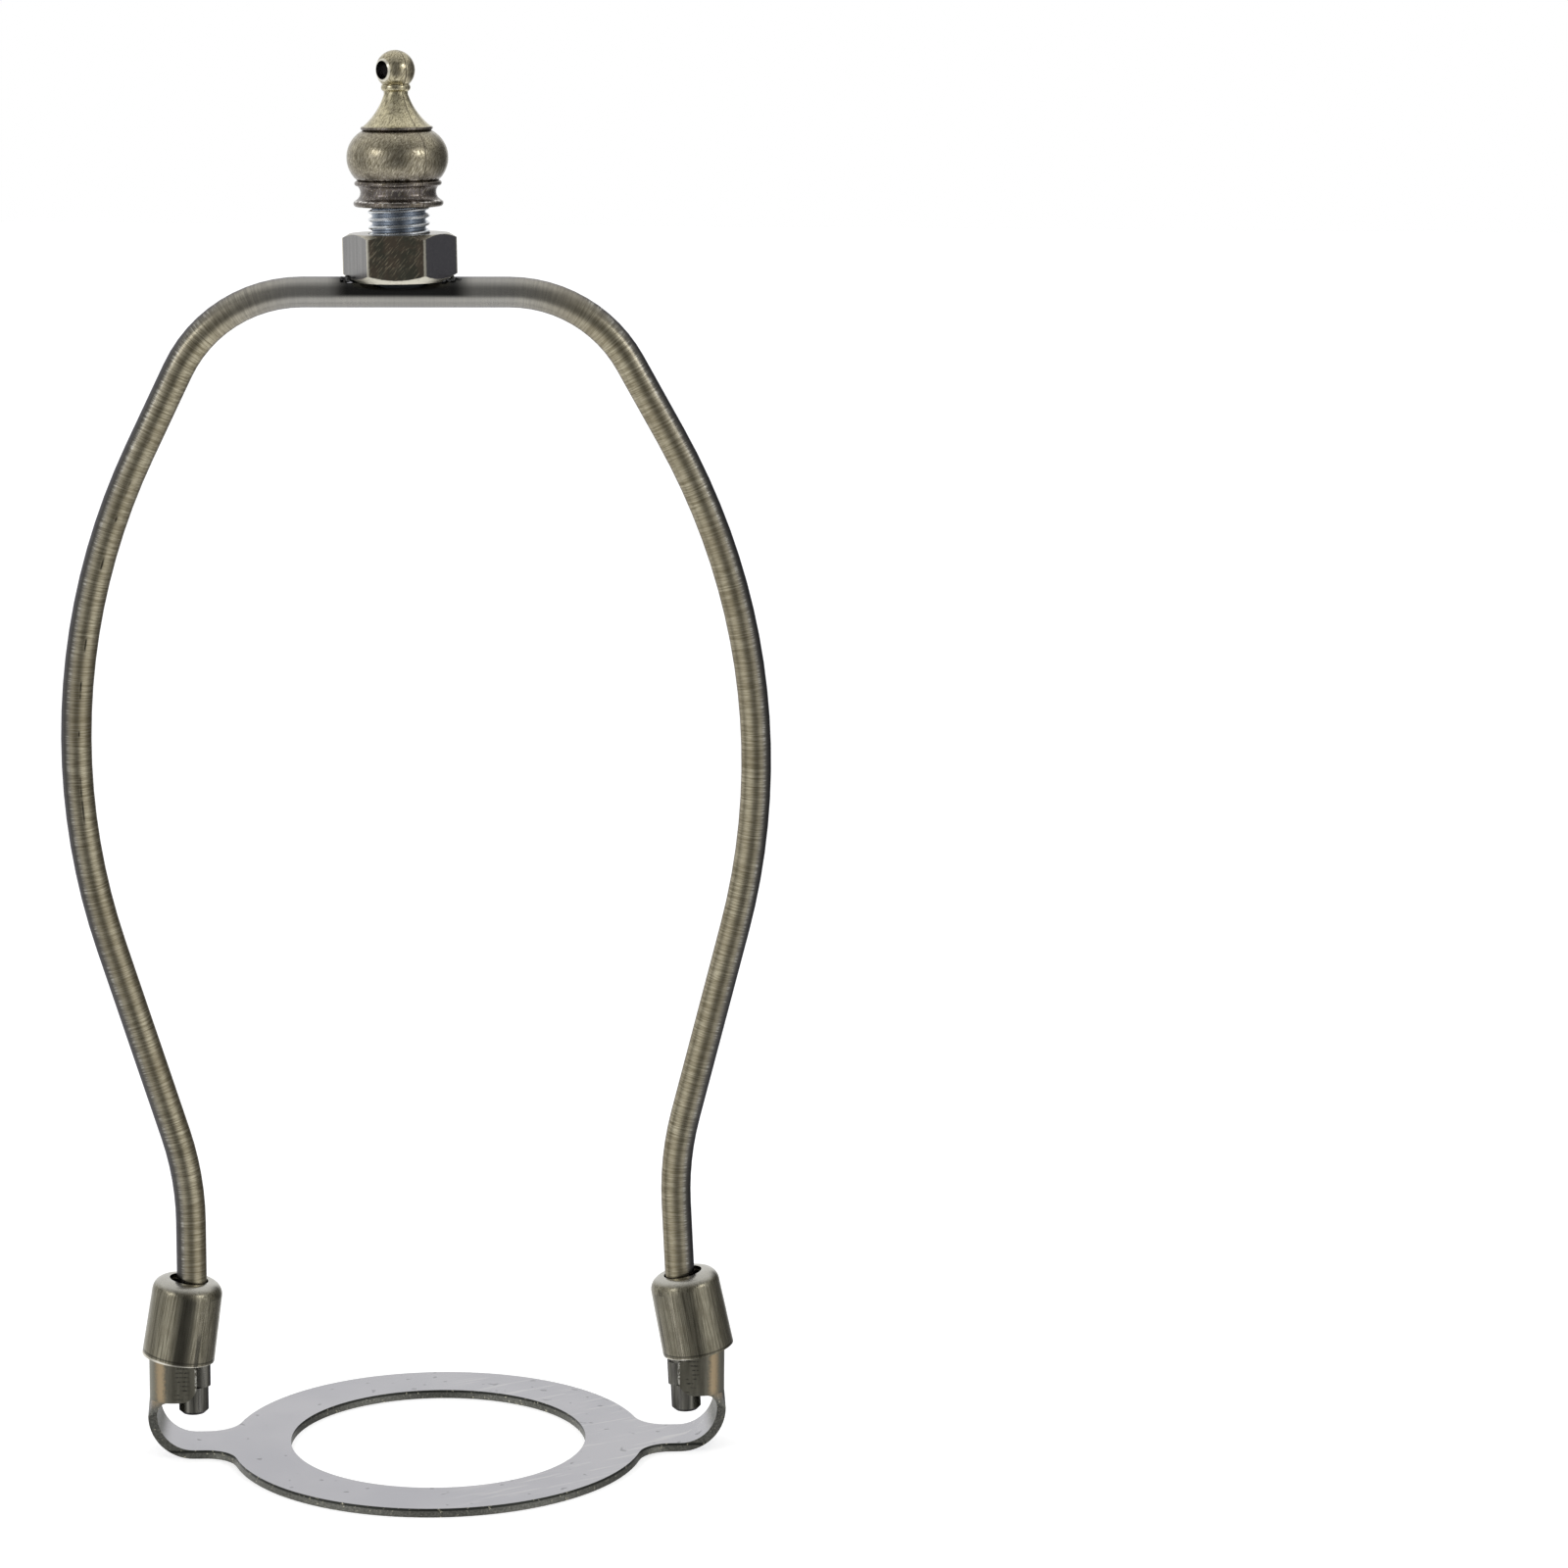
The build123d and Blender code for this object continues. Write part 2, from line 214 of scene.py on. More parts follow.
def grain(tree, vector, scale=1.0, detail=3.0, rough=0.6, twist=0.0):
    """Noise, from 0 to 1."""
    return add(tree, "ShaderNodeTexNoise", {"Vector": vector, "Scale": scale, "Detail": detail,
                                            "Roughness": rough, "Distortion": twist}).outputs[0]


def blend(tree, share, first, second):
    """A mix of two colours."""
    made = add(tree, "ShaderNodeMix", data_type="RGBA")
    for socket, value in ((0, share), (6, first), (7, second)):
        if isinstance(value, bpy.types.NodeSocket):
            tree.links.new(value, made.inputs[socket])
        elif socket == 0:
            made.inputs[0].default_value = value
        else:
            made.inputs[socket].default_value = (*value, 1)
    return made.outputs[2]


def relief(tree, shader, height, depth, strength=1.0):
    """Fine relief, with its depth in mm."""
    made = add(tree, "ShaderNodeBump", {"Height": height, "Distance": depth * MM, "Strength": strength})
    tree.links.new(made.outputs[0], shader.inputs["Normal"])


def set_inputs(tree, shader, **sockets):
    """Fills the shader's sockets."""
    for name, value in sockets.items():
        tree.links.new(value, shader.inputs[name.replace("_", " ")])


def dress(node, finish):
    """Gives a node of the frame its finish."""
    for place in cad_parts[node].material_slots:
        place.material = finish


def near_to(tree, value, middle, wide, soft):
    """1 where the value is within wide of the middle, falling to 0 over soft."""
    off = sum_of(tree, "ABSOLUTE", sum_of(tree, "SUBTRACT", value, middle))
    return between(tree, off, wide + soft, wide)


def strokes(tree, vector, turn, across, along, detail=2.0):
    """Noise drawn out into strokes of a width and length, turned by degrees about each axis."""
    laid = add(tree, "ShaderNodeMapping",
               {"Vector": vector, "Rotation": [math.radians(angle) for angle in turn],
                "Scale": (across, across, along)}, vector_type="TEXTURE")
    return grain(tree, laid.outputs[0], 1.0, detail, 0.6)


def all_of(tree, first, *others):
    """Several shares multiplied together."""
    for other in others:
        first = sum_of(tree, "MULTIPLY", first, other)
    return first


saddle_finish, tree, shader, point, facing = metal("saddle_plating")
sheet = 1.2
apart = add(tree, "ShaderNodeSeparateXYZ", {0: point})
faces = add(tree, "ShaderNodeSeparateXYZ", {0: facing})
upwards = sum_of(tree, "ABSOLUTE", faces.outputs["Z"])
outwards = sum_of(tree, "MULTIPLY", faces.outputs["X"], sum_of(tree, "SIGN", apart.outputs["X"]))
# Sloped faces turned to the front, on the bends below the ears, take the dark edge colour: painted shade
flat_share = all_of(tree, between(tree, upwards, 0.35, 0.80), between(tree, faces.outputs["Y"], -0.50, -0.25))
ear_start, ear_full = 6.6, 8.4
ear_share = between(tree, apart.outputs["Z"], ear_start * MM, ear_full * MM)
# Sheared edges: a dark burnished line under the top face, and a grainy break below it
edge_grain = grain(tree, point, 4200.0, 4.0, 0.7)
edge_height = sum_of(tree, "DIVIDE", apart.outputs["Z"], sheet * MM)
burnished = near_to(tree, edge_height, 0.86, 0.10, 0.12)
edge_break = blend(tree, between(tree, edge_grain, 0.35, 0.70), (0.120, 0.122, 0.108), (0.240, 0.238, 0.214))
edge_colour = blend(tree, burnished, edge_break, (0.045, 0.047, 0.042))
flecks = between(tree, grain(tree, point, 2300.0, 3.0, 0.7), 0.62, 0.68)
edge_colour = blend(tree, all_of(tree, flecks, 0.8), edge_colour, (0.80, 0.76, 0.58))
clouds = grain(tree, point, 60.0, 3.0, 0.55)
flat_colour = blend(tree, between(tree, clouds, 0.3, 0.7), (0.375, 0.374, 0.400), (0.425, 0.420, 0.442))
# Hair scratches on the right half of the flat, and a few dark specks
hair_lines = strokes(tree, point, (0, 90, 28), 0.0007, 0.011)
scratched = all_of(tree, between(tree, hair_lines, 0.60, 0.66),
                   between(tree, apart.outputs["X"], -4 * MM, 12 * MM), 0.45)
specks_and_glints = all_of(tree, between(tree, grain(tree, point, 700.0, 1.0, 0.5), 0.70, 0.74), 0.6)
flat_colour = blend(tree, scratched, flat_colour, (0.60, 0.59, 0.58))
flat_colour = blend(tree, specks_and_glints, flat_colour, (0.16, 0.16, 0.17))
# Ears: olive, painted lighter on the outward sides, with a gold painted highlight down each front corner and
# press marks on the folded flange
draw_lines = grain(tree, local(tree, point, (0, 0, 0), 0, (1500, 1500, 150)), 1.0, 3.0, 0.65)
speckle = grain(tree, point, 3000.0, 3.0, 0.7)
# A gold painted highlight down each front corner, placed by the way the surface faces
corner_highlight = near_to(tree, sum_of(tree, "MULTIPLY_ADD", sum_of(tree, "SUBTRACT", speckle, 0.5), 0.35, outwards),
               0.52, 0.04, 0.26)
corner_highlight_share = all_of(tree, corner_highlight, between(tree, faces.outputs["Y"], 0.0, -0.4), 0.80)
ear_olive = blend(tree, between(tree, draw_lines, 0.25, 0.75), (0.135, 0.128, 0.100), (0.215, 0.205, 0.165))
# The outward sides painted lighter, as painted light
lit_side_olive = blend(tree, between(tree, outwards, 0.45, 0.85), ear_olive, (0.270, 0.262, 0.215))
press_pitch = 0.62
press_lines = sum_of(tree, "SINE", sum_of(tree, "MULTIPLY", apart.outputs["Z"],
                                          2 * math.pi / (press_pitch * MM)))
ear_reach = 38.95
off_middle = sum_of(tree, "ABSOLUTE", apart.outputs["X"])
press_place = near_to(tree, off_middle, (ear_reach - 4.6) * MM, 0.5 * MM, 0.7 * MM)
press_marks = all_of(
    tree, between(tree, press_lines, 0.1, 0.9), press_place, between(tree, speckle, 0.30, 0.60),
    between(tree, grain(tree, point, 420.0, 2.0, 0.6), 0.46, 0.54),
    between(tree, faces.outputs["Y"], -0.8, -0.95), 0.90)
flange_edge = all_of(tree, near_to(tree, off_middle, (ear_reach - 6.5) * MM, 0.16 * MM, 0.14 * MM),
                     between(tree, speckle, 0.40, 0.58))
ear_colour = blend(tree, corner_highlight_share, lit_side_olive, (0.460, 0.350, 0.215))
ear_colour = blend(tree, press_marks, ear_colour, (0.040, 0.040, 0.034))
ear_colour = blend(tree, all_of(tree, flange_edge, 0.8), ear_colour, (0.950, 0.930, 0.850))
low_colour = blend(tree, flat_share, edge_colour, flat_colour)
set_inputs(tree, shader, Base_Color=blend(tree, ear_share, low_colour, ear_colour),
           Roughness=sum_of(tree, "MULTIPLY_ADD", flat_share, -0.20, 0.42))
edge_relief = sum_of(tree, "MULTIPLY", edge_grain, sum_of(tree, "SUBTRACT", 1.0, flat_share))
relief(tree, shader, sum_of(tree, "MULTIPLY_ADD", press_marks, -0.6, edge_relief), 0.03, 0.5)
dress("saddle", saddle_finish)


# The bow
# One length of 4 mm steel rod, bent to shape, with a flat pressed above each foot. It was linished before it
# was plated, so fine scratches run round it. The antique finish is rubbed to a paler gold in front.

bow_finish, tree, shader, point, facing = metal("bow_plating")
rod_radius = 2.0
crown_middle = (-4.4, 156.7)
apart = add(tree, "ShaderNodeSeparateXYZ", {0: point})
faces = add(tree, "ShaderNodeSeparateXYZ", {0: facing})
outwards = sum_of(tree, "MULTIPLY", faces.outputs["X"], sum_of(tree, "SIGN", apart.outputs["X"]))
middle = add(tree, "ShaderNodeVectorMath", {0: facing, 1: (-rod_radius * MM,) * 3, 2: point},
             operation="MULTIPLY_ADD").outputs[0]
rings = grain(tree, middle, 3400.0, 2.0, 0.6)
marks_along, marks_round = 5200, 420
slow = add(tree, "ShaderNodeVectorMath", {0: point, 1: (marks_round,) * 3}, operation="MULTIPLY").outputs[0]
marks_place = add(tree, "ShaderNodeVectorMath", {0: middle, 1: (marks_along,) * 3, 2: slow},
                  operation="MULTIPLY_ADD").outputs[0]
short_marks = grain(tree, marks_place, 1.0, 3.0, 0.7)
patches = grain(tree, point, 140.0, 3.0, 0.55)
tone = sum_of(tree, "MULTIPLY_ADD", rings, 0.35, sum_of(tree, "MULTIPLY", short_marks, 0.65))
bow_base = blend(tree, between(tree, tone, 0.38, 0.64), (0.225, 0.196, 0.128), (0.520, 0.475, 0.350))
bow_colour = blend(tree, between(tree, patches, 0.35, 0.75, 0.0, 0.45), bow_base, (0.255, 0.215, 0.140))
# The outer side is painted darker and bluer than the side towards the lamp, as painted shade
bow_colour = blend(tree, between(tree, outwards, 0.0, 0.78, 0.0, 0.90), bow_colour, (0.095, 0.095, 0.100))
# Polished greyer along the crown
greyer = all_of(tree, near_to(tree, apart.outputs["X"], crown_middle[0] * MM, 12 * MM, 16 * MM),
                between(tree, apart.outputs["Z"], 148 * MM, 154 * MM), 0.85)
bow_colour = blend(tree, greyer, bow_colour, (0.355, 0.350, 0.338))
# A broken scratch down the left side, and light specks along both outer sides, painted as glints of a narrow
# highlight
scratch_run = add(tree, "ShaderNodeMapping", {"Vector": point, "Scale": (0, 0, 150.0)}).outputs[0]
on_left = between(tree, apart.outputs["X"], -25 * MM, -30 * MM)
scratch = all_of(tree, near_to(tree, faces.outputs["X"], 0.24, 0.03, 0.05), on_left,
                 between(tree, grain(tree, scratch_run, 1.0, 3.0, 0.7), 0.50, 0.58),
                 near_to(tree, apart.outputs["Z"], 112 * MM, 22 * MM, 8 * MM), 0.85)
# Painted glints: a broken line of light at one angle on each outer side
specks_and_glints = all_of(tree, near_to(tree, outwards, 0.52, 0.04, 0.10), between(tree, short_marks, 0.50, 0.64), 0.7)
bow_colour = blend(tree, specks_and_glints, bow_colour, (0.46, 0.45, 0.41))
bow_colour = blend(tree, scratch, bow_colour, (0.02, 0.018, 0.014))
# A black band on the rod round the nut, above the middle of the rod: painted shade of the nut
# Painted shade under the nut, painted black
scaled = all_of(tree, near_to(tree, apart.outputs["X"], crown_middle[0] * MM, 6.8 * MM, 3.0 * MM),
                between(tree, apart.outputs["Z"], (crown_middle[1] - 0.65) * MM,
                        (crown_middle[1] - 0.15) * MM), 0.92)
bow_colour = blend(tree, scaled, bow_colour, (0.015, 0.015, 0.016))
# The feet are smooth, and painted darker where the sleeves and ears cover them, as painted shade inside them
bare_above, covered_below = 16, 13
shade_where_covered = between(tree, apart.outputs["Z"], bare_above * MM, covered_below * MM)
foot_lines = grain(tree, local(tree, point, (0, 0, 0), 0, (2600, 2600, 120)), 1.0, 2.0, 0.6)
# A darker colour for the covered feet: painted shade
shaded_foot_colour = blend(tree, between(tree, foot_lines, 0.3, 0.7), (0.115, 0.112, 0.100), (0.235, 0.228, 0.198))
bow_colour = blend(tree, shade_where_covered, bow_colour, shaded_foot_colour)
set_inputs(tree, shader, Base_Color=bow_colour, Roughness=between(tree, patches, 0.2, 0.8, 0.24, 0.34))
edge_tint = (0.55, 0.55, 0.60, 1)
shader.inputs["Specular Tint"].default_value = edge_tint
bow_relief = all_of(tree, sum_of(tree, "MULTIPLY_ADD", scratch, -0.8, tone),
                    sum_of(tree, "SUBTRACT", 1.0, shade_where_covered))
relief(tree, shader, bow_relief, 0.012, 0.6)
dress("bow", bow_finish)


# The nut
# A plain hexagon nut welded to the crown of the bow and plated with it. Its corners and rims are worn to
# bare cream metal, and its faces carry slanting file marks.

nut_finish, tree, shader, point, facing = metal("nut_plating")
seat = (-4.379, 0, 158.028)
lean = -1.1
nut_height, low_radius, top_radius = 6.25, 5.6, 6.45
here = local(tree, point, seat, lean, (1000, 1000, 1000))
apart = add(tree, "ShaderNodeSeparateXYZ", {0: here})
faces = add(tree, "ShaderNodeSeparateXYZ", {0: facing})
flat_vector = add(tree, "ShaderNodeCombineXYZ", {"X": apart.outputs["X"], "Y": apart.outputs["Y"]})
radius = add(tree, "ShaderNodeVectorMath", {0: flat_vector.outputs[0]}, operation="LENGTH").outputs["Value"]
wobble = grain(tree, here, 2.2, 3.0, 0.6)
worn_corner = between(tree, sum_of(tree, "MULTIPLY_ADD", wobble, 0.12, radius), 7.33, 7.42)
chamfer_angle = 30
slope = math.tan(math.radians(chamfer_angle))
low_rim = sum_of(tree, "SUBTRACT", apart.outputs["Z"],
                 sum_of(tree, "MULTIPLY", sum_of(tree, "SUBTRACT", radius, low_radius), slope))
worn_low = between(tree, sum_of(tree, "MULTIPLY_ADD", wobble, -0.20, low_rim), 0.0, -0.10)
high_rim = sum_of(tree, "SUBTRACT", sum_of(tree, "SUBTRACT", nut_height, apart.outputs["Z"]),
                  sum_of(tree, "MULTIPLY", sum_of(tree, "SUBTRACT", radius, top_radius), slope))
worn_high = all_of(tree, between(tree, sum_of(tree, "MULTIPLY_ADD", wobble, 0.2, high_rim), 0.17, 0.08), 0.45)
worn = sum_of(tree, "MAXIMUM", worn_corner, sum_of(tree, "MAXIMUM", worn_low, worn_high))
file_marks = between(tree, strokes(tree, here, (0, 40, 0), 0.11, 1.7), 0.56, 0.66)
nut_clouds = grain(tree, here, 0.45, 3.0, 0.6)
streaks = grain(tree, local(tree, point, seat, lean, (2200, 2200, 60)), 1.0, 2.0, 0.6)
# Each face takes its own colour by the way it faces, as painted reflections: brown in front, lighter grey on
# the left, bluish on the right
front_face = blend(tree, between(tree, nut_clouds, 0.38, 0.62), (0.172, 0.140, 0.106), (0.115, 0.114, 0.088))
front_face = blend(tree, all_of(tree, file_marks, 0.70), front_face, (0.62, 0.55, 0.40))
left_face_reflection = blend(tree, between(tree, streaks, 0.3, 0.7), (0.235, 0.232, 0.228), (0.295, 0.290, 0.284))
right_face_reflection = blend(tree, all_of(tree, file_marks, 0.35), (0.215, 0.210, 0.232), (0.45, 0.44, 0.43))
nut_colour = blend(tree, between(tree, faces.outputs["X"], -0.45, -0.60), front_face, left_face_reflection)
nut_colour = blend(tree, between(tree, faces.outputs["X"], 0.45, 0.60), nut_colour, right_face_reflection)
set_inputs(tree, shader, Base_Color=blend(tree, worn, nut_colour, (0.72, 0.69, 0.58)),
           Roughness=sum_of(tree, "MULTIPLY_ADD", worn, 0.16, 0.20))
relief(tree, shader, file_marks, 0.01, 0.4)
dress("hex_nut", nut_finish)

# Beads of weld in the wedges under the nut's left and right corners, in mm, painted black as the shade in
# these wedges
left_wedge, right_wedge = (-12.0, -8.4), (-0.6, 3.2)
bead_count = 18
bead_depths, bead_heights, bead_radii = (-1.6, 0.2), (158.20, 158.60), (0.26, 0.42)
beads = bmesh.new()
drops = random.Random(7)
for first_x, last_x in (left_wedge, right_wedge):
    for number in range(bead_count):
        bead_x = first_x + (last_x - first_x) * (number + drops.random()) / bead_count
        bead_place = Vector((bead_x, drops.uniform(*bead_depths), drops.uniform(*bead_heights))) * MM
        bead_size = [drops.uniform(*bead_radii) * MM for way in range(3)]
        stretch = Matrix.Diagonal((*bead_size, 1))
        bmesh.ops.create_icosphere(beads, subdivisions=2, radius=1.0,
                                   matrix=Matrix.Translation(bead_place) @ stretch)
weld_mesh = bpy.data.meshes.new("weld")
beads.to_mesh(weld_mesh)
beads.free()
weld_mesh.shade_smooth()
weld = bpy.data.objects.new("weld", weld_mesh)
bpy.context.scene.collection.objects.link(weld)
weld_shade_black, tree, shader, point, facing = metal("weld_shade_black")
set_inputs(tree, shader, Base_Color=blend(tree, grain(tree, point, 1800.0), (0.02, 0.02, 0.02),
                                          (0.12, 0.12, 0.12)))
shader.inputs["Roughness"].default_value = 0.3
weld_mesh.materials.append(weld_shade_black)
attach(weld, "bow")


# The threaded stud
# Zinc plated steel with a right-handed 1.0 mm thread for its whole length. It is screwed into the nut, and
# the finial is screwed down on it.

zinc, tree, shader, point, facing = metal("bright_zinc")
zinc_grain = grain(tree, point, 900.0, 3.0, 0.6)
from_axis = local(tree, point, seat, lean, (1000, 1000, 0))
off_axis = add(tree, "ShaderNodeVectorMath", {0: from_axis}, operation="LENGTH").outputs["Value"]
# Crests painted lighter and roots darker: painted light and shade on the thread
lit_crest = between(tree, off_axis, 3.50, 3.90)
zinc_colour = blend(tree, lit_crest, (0.30, 0.34, 0.40), (0.84, 0.87, 0.90))
zinc_colour = blend(tree, between(tree, zinc_grain, 0.45, 0.75, 0.0, 0.3), zinc_colour, (0.50, 0.54, 0.60))
faces = add(tree, "ShaderNodeSeparateXYZ", {0: facing})
# Faces towards the front painted darker: painted reflection of the dark front
front_reflection_shade = between(tree, faces.outputs["Y"], -0.70, -0.95, 0.0, 0.75)
zinc_colour = blend(tree, front_reflection_shade, zinc_colour, (0.16, 0.18, 0.21))
set_inputs(tree, shader, Base_Color=zinc_colour, Roughness=between(tree, zinc_grain, 0.2, 0.8, 0.18, 0.32))
relief(tree, shader, zinc_grain, 0.004, 0.3)

thread_sizes = {"Length": 15.8 * MM, "Crest Radius": 4.0 * MM, "Root Radius": 3.46 * MM, "Pitch": 1.0 * MM,
                "Chamfer": 0.6 * MM}
cutter = bpy.data.node_groups.new("cut_thread", "GeometryNodeTree")
for name, value in thread_sizes.items():
    named_size = cutter.interface.new_socket(name=name, in_out="INPUT", socket_type="NodeSocketFloat")
    named_size.default_value = value
cutter.interface.new_socket(name="Finish", in_out="INPUT", socket_type="NodeSocketMaterial")
cutter.interface.new_socket(name="Geometry", in_out="OUTPUT", socket_type="NodeSocketGeometry")
size = add(cutter, "NodeGroupInput").outputs
bar = add(cutter, "GeometryNodeMeshCylinder",
          {"Vertices": 72, "Side Segments": 190, "Radius": size["Crest Radius"], "Depth": size["Length"]})
at = add(cutter, "ShaderNodeSeparateXYZ", {0: add(cutter, "GeometryNodeInputPosition").outputs[0]}).outputs
height = sum_of(cutter, "MULTIPLY_ADD", size["Length"], 0.5, at["Z"])
turned = sum_of(cutter, "DIVIDE", sum_of(cutter, "ARCTAN2", at["Y"], at["X"]), 2 * math.pi)
pitches_up = sum_of(cutter, "DIVIDE", height, size["Pitch"])
phase = sum_of(cutter, "FRACT", sum_of(cutter, "SUBTRACT", pitches_up, turned))
from_crest = sum_of(cutter, "ABSOLUTE", sum_of(cutter, "MULTIPLY_ADD", phase, 2.0, -1.0))
ridge = sum_of(cutter, "SUBTRACT", 1.0, from_crest)
flank = between(cutter, ridge, 0.10, 0.88)
thread_depth = sum_of(cutter, "SUBTRACT", size["Crest Radius"], size["Root Radius"])
cut = sum_of(cutter, "MULTIPLY_ADD", flank, thread_depth, size["Root Radius"])
nearest_end = sum_of(cutter, "MINIMUM", height, sum_of(cutter, "SUBTRACT", size["Length"], height))
end_radius = sum_of(cutter, "SUBTRACT", size["Crest Radius"], size["Chamfer"])
end_limit = sum_of(cutter, "ADD", end_radius, nearest_end)
share = sum_of(cutter, "DIVIDE", sum_of(cutter, "MINIMUM", cut, end_limit), size["Crest Radius"])
turned_point = add(cutter, "ShaderNodeCombineXYZ",
                   {"X": sum_of(cutter, "MULTIPLY", at["X"], share),
                    "Y": sum_of(cutter, "MULTIPLY", at["Y"], share), "Z": at["Z"]})
threaded = add(cutter, "GeometryNodeSetPosition", {"Geometry": bar.outputs["Mesh"],
                                                   "Position": turned_point.outputs[0]})
whole = add(cutter, "GeometryNodeRealizeInstances", {"Geometry": threaded.outputs[0]})
painted = add(cutter, "GeometryNodeSetMaterial", {"Geometry": whole.outputs[0], "Material": size["Finish"]})
add(cutter, "NodeGroupOutput", {"Geometry": painted.outputs[0]})


def made_by(tree, name, **values):
    """The plain mesh that a geometry tree makes, as a new object."""
    blank = bpy.data.objects.new("blank", bpy.data.meshes.new("blank"))
    bpy.context.scene.collection.objects.link(blank)
    modifier = blank.modifiers.new("tree", "NODES")
    modifier.node_group = tree
    sockets = {item.name: item.identifier for item in tree.interface.items_tree if item.in_out == "INPUT"}
    for key, value in values.items():
        modifier[sockets[key]] = value
    bpy.context.view_layer.update()
    shape = bpy.data.meshes.new_from_object(blank.evaluated_get(bpy.context.evaluated_depsgraph_get()))
    bpy.data.objects.remove(blank)
    shape.name = name
    made = bpy.data.objects.new(name, shape)
    bpy.context.scene.collection.objects.link(made)
    return made


stud = made_by(cutter, "thread", Finish=zinc)
stud_up = Vector((math.sin(math.radians(lean)), 0, math.cos(math.radians(lean))))
stud_middle = Vector(seat) * MM + stud_up * thread_sizes["Length"] / 2
stud.data.transform(Matrix.Translation(stud_middle) @ Matrix.Rotation(math.radians(lean), 4, "Y"))
for face in stud.data.polygons:
    face.use_smooth = len(face.vertices) == 4
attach(stud, "bow")
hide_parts("threaded_stud")


# The finial
# One plated casting with a blind threaded bore: base flange, groove, bead, belly, lip, skirt, collar and a
# drilled ball. The plating is dark in the groove and rubbed to gold on the skirt and the ball.

finial_finish, tree, shader, point, facing = metal("finial_plating")
finial_base = (-4.565, 0, 167.716)
here = local(tree, point, finial_base, lean, (1000, 1000, 1000))
apart = add(tree, "ShaderNodeSeparateXYZ", {0: here})
finial_height = 20.0
up_finial = sum_of(tree, "DIVIDE", apart.outputs["Z"], finial_height)
# How far the plating is rubbed to gold, by height, as (share of the finial's height, gold)
gold = grey_ramp(tree, up_finial, [
    (0.0, 0.12), (0.045, 0.04), (0.13, 0.04), (0.17, 0.14), (0.25, 0.42), (0.40, 0.50), (0.47, 0.45),
    (0.49, 0.10), (0.503, 0.10), (0.515, 0.95), (0.56, 0.95), (0.72, 1.0), (0.80, 0.75), (1.0, 0.70)])
mottle = grain(tree, here, 1.1, 4.0, 0.65, 0.6)
brushed = strokes(tree, here, (0, 24, 0), 0.16, 1.1, 3.0)
gold_share = sum_of(tree, "MULTIPLY", gold, between(tree, mottle, 0.25, 0.65, 0.70, 1.0))
finial_base_colour = blend(tree, gold_share, (0.135, 0.118, 0.126), (0.680, 0.615, 0.405))
finial_colour = blend(tree, between(tree, brushed, 0.44, 0.62, 0.0, 0.72), finial_base_colour,
                      (0.120, 0.100, 0.060))
finial_colour = blend(tree, between(tree, brushed, 0.42, 0.32, 0.0, 0.50), finial_colour, (0.82, 0.77, 0.60))
# Below the belly only the worn arrises of the flange and the bead are bright
flange_arris, bead_arris = 0.75, 3.55
arris = sum_of(tree, "MAXIMUM", near_to(tree, apart.outputs["Z"], flange_arris, 0.05, 0.10),
               near_to(tree, apart.outputs["Z"], bead_arris, 0.05, 0.10))
arris_wear = between(tree, grain(tree, here, 1.9, 3.0, 0.6), 0.42, 0.58)
finial_colour = blend(tree, all_of(tree, arris, arris_wear, 0.85), finial_colour, (0.88, 0.85, 0.80))
# The line where the two halves of the mould met runs right round the casting
parting_turn = math.radians(35)
flat_off = sum_of(tree, "MULTIPLY_ADD", apart.outputs["X"], math.cos(parting_turn),
                  sum_of(tree, "MULTIPLY", apart.outputs["Y"], math.sin(parting_turn)))
parting = near_to(tree, sum_of(tree, "MULTIPLY_ADD", mottle, 0.12, flat_off), 0.06, 0.03, 0.08)
finial_colour = blend(tree, all_of(tree, parting, 0.7), finial_colour, (0.06, 0.05, 0.035))
# The cross hole through the ball is painted black inside as painted shade, with a painted highlight for the
# bevel round its mouth
ball_height, cross_bore, cross_turn = 17.4, 2.35, math.radians(50)
hole_radius = cross_bore / 2
beside = sum_of(tree, "MULTIPLY_ADD", apart.outputs["X"], math.cos(cross_turn),
                sum_of(tree, "MULTIPLY", apart.outputs["Y"], -math.sin(cross_turn)))
over = sum_of(tree, "SUBTRACT", apart.outputs["Z"], ball_height)
hole_place = add(tree, "ShaderNodeCombineXYZ", {"X": beside, "Y": over}).outputs[0]
from_hole = add(tree, "ShaderNodeVectorMath", {0: hole_place}, operation="LENGTH").outputs["Value"]
bevel_highlight = near_to(tree, from_hole, hole_radius + 0.16, 0.10, 0.08)
finial_colour = blend(tree, all_of(tree, bevel_highlight, 0.6), finial_colour, (0.85, 0.83, 0.74))
finial_colour = blend(tree, between(tree, from_hole, hole_radius + 0.05, hole_radius), finial_colour,
                      (0.110, 0.104, 0.108))
belly_end = 9.75
finial_rough = sum_of(tree, "ADD", between(tree, apart.outputs["Z"], belly_end + 1.0, belly_end, 0.0, 0.07),
                      between(tree, brushed, 0.2, 0.8, 0.15, 0.27))
set_inputs(tree, shader, Base_Color=finial_colour, Roughness=finial_rough)
rubbed = between(tree, apart.outputs["Z"], 2.6, 3.8, 0.25, 1.0)
uneven = sum_of(tree, "MULTIPLY_ADD", brushed, 0.9, sum_of(tree, "MULTIPLY", mottle, 1.4))
finial_relief = all_of(tree, uneven, rubbed)
relief(tree, shader, sum_of(tree, "MULTIPLY_ADD", parting, -1.5, finial_relief), 0.02, 0.45)
dress("finial", finial_finish)


# The sleeves
# Two drawn cups, one on each leg, that drop over the ears and hold the feet in them. They are plated like the
# bow. Draw lines run down them, and their rims are bare.

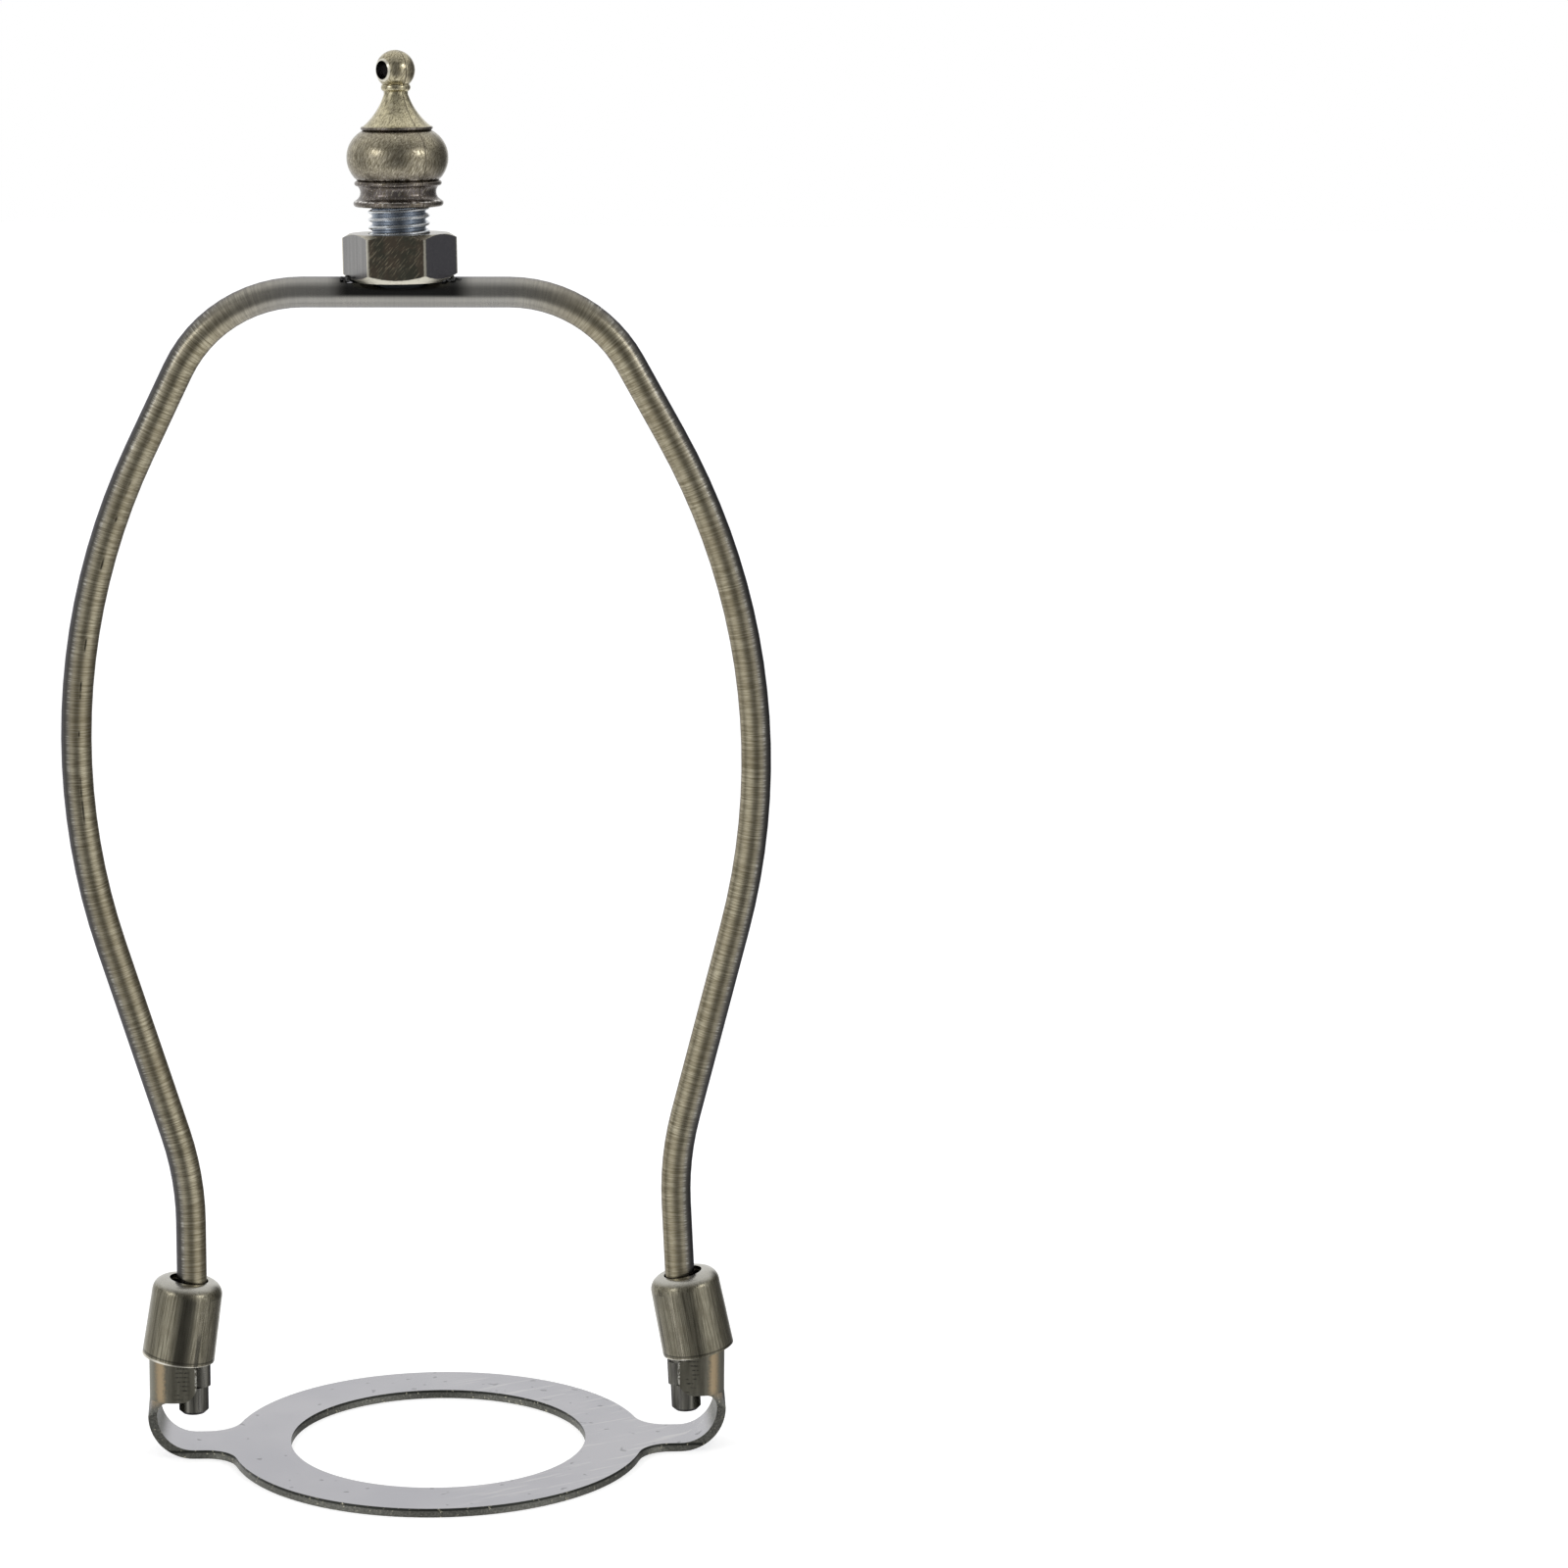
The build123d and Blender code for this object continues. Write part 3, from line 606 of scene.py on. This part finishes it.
sleeve_middle_z = 18.6
for name, middle_x, tilt, reflection_depth in (("left_sleeve", -34.45, 10.0, 0.80),
                                           ("right_sleeve", 34.5, -10.0, 0.20)):
    sleeve_finish, tree, shader, point, facing = metal(name + "_plating")
    here = local(tree, point, (middle_x, 0, sleeve_middle_z), tilt, (1000, 1000, 1000))
    apart = add(tree, "ShaderNodeSeparateXYZ", {0: here})
    faces = add(tree, "ShaderNodeSeparateXYZ", {0: facing})
    lines = grain(tree, add(tree, "ShaderNodeVectorMath", {0: here, 1: (6.0, 6.0, 0.12)},
                            operation="MULTIPLY").outputs[0], 1.0, 4.0, 0.7)
    scuffs = grain(tree, add(tree, "ShaderNodeVectorMath", {0: here, 1: (1.4, 1.4, 11.0)},
                             operation="MULTIPLY").outputs[0], 1.0, 2.0, 0.6)
    rub = grain(tree, here, 0.6, 3.0, 0.6)
    sleeve_base = blend(tree, between(tree, lines, 0.32, 0.70), (0.115, 0.105, 0.075), (0.370, 0.345, 0.265))
    sleeve_colour = blend(tree, between(tree, rub, 0.4, 0.8, 0.0, 0.5), sleeve_base, (0.175, 0.155, 0.110))
    scuffed = between(tree, scuffs, 0.66, 0.76, 0.0, 0.5)
    sleeve_colour = blend(tree, scuffed, sleeve_colour, (0.42, 0.40, 0.33))
    # A darker stripe down the front, turned a little towards the ring, and a thin streak beside it: painted
    # reflections of the dark front
    inwards = -1 if middle_x > 0 else 1
    dark_front_reflection = all_of(tree, near_to(tree, faces.outputs["X"], 0.10 * inwards, 0.10, 0.25),
                    between(tree, apart.outputs["Z"], 5.2, 3.6), reflection_depth)
    sleeve_colour = blend(tree, dark_front_reflection, sleeve_colour, (0.075, 0.072, 0.058))
    thin_dark_reflection = all_of(tree, near_to(tree, faces.outputs["X"], 0.52 * inwards, 0.03, 0.05),
                    between(tree, apart.outputs["Z"], 0.5, -2.0), reflection_depth)
    sleeve_colour = blend(tree, thin_dark_reflection, sleeve_colour, (0.050, 0.047, 0.038))
    # Faces turned upwards painted lighter: painted light from above
    painted_top_light = between(tree, faces.outputs["Z"], 0.45, 0.85, 0.0, 0.75)
    sleeve_colour = blend(tree, painted_top_light, sleeve_colour, (0.52, 0.51, 0.47))
    # The bare rim, with a dark line above it
    above_rim = all_of(tree, near_to(tree, apart.outputs["Z"], -4.80, 0.06, 0.12), 0.7)
    sleeve_colour = blend(tree, above_rim, sleeve_colour, (0.060, 0.056, 0.044))
    rim_end, rim_start = -4.95, -5.10
    rim = between(tree, sum_of(tree, "MULTIPLY_ADD", rub, 0.3, apart.outputs["Z"]), rim_end, rim_start)
    sleeve_colour = blend(tree, all_of(tree, rim, 0.85), sleeve_colour, (0.85, 0.82, 0.72))
    set_inputs(tree, shader, Base_Color=sleeve_colour, Roughness=between(tree, rub, 0.2, 0.8, 0.22, 0.32))
    relief(tree, shader, lines, 0.015, 0.5)
    dress(name, sleeve_finish)
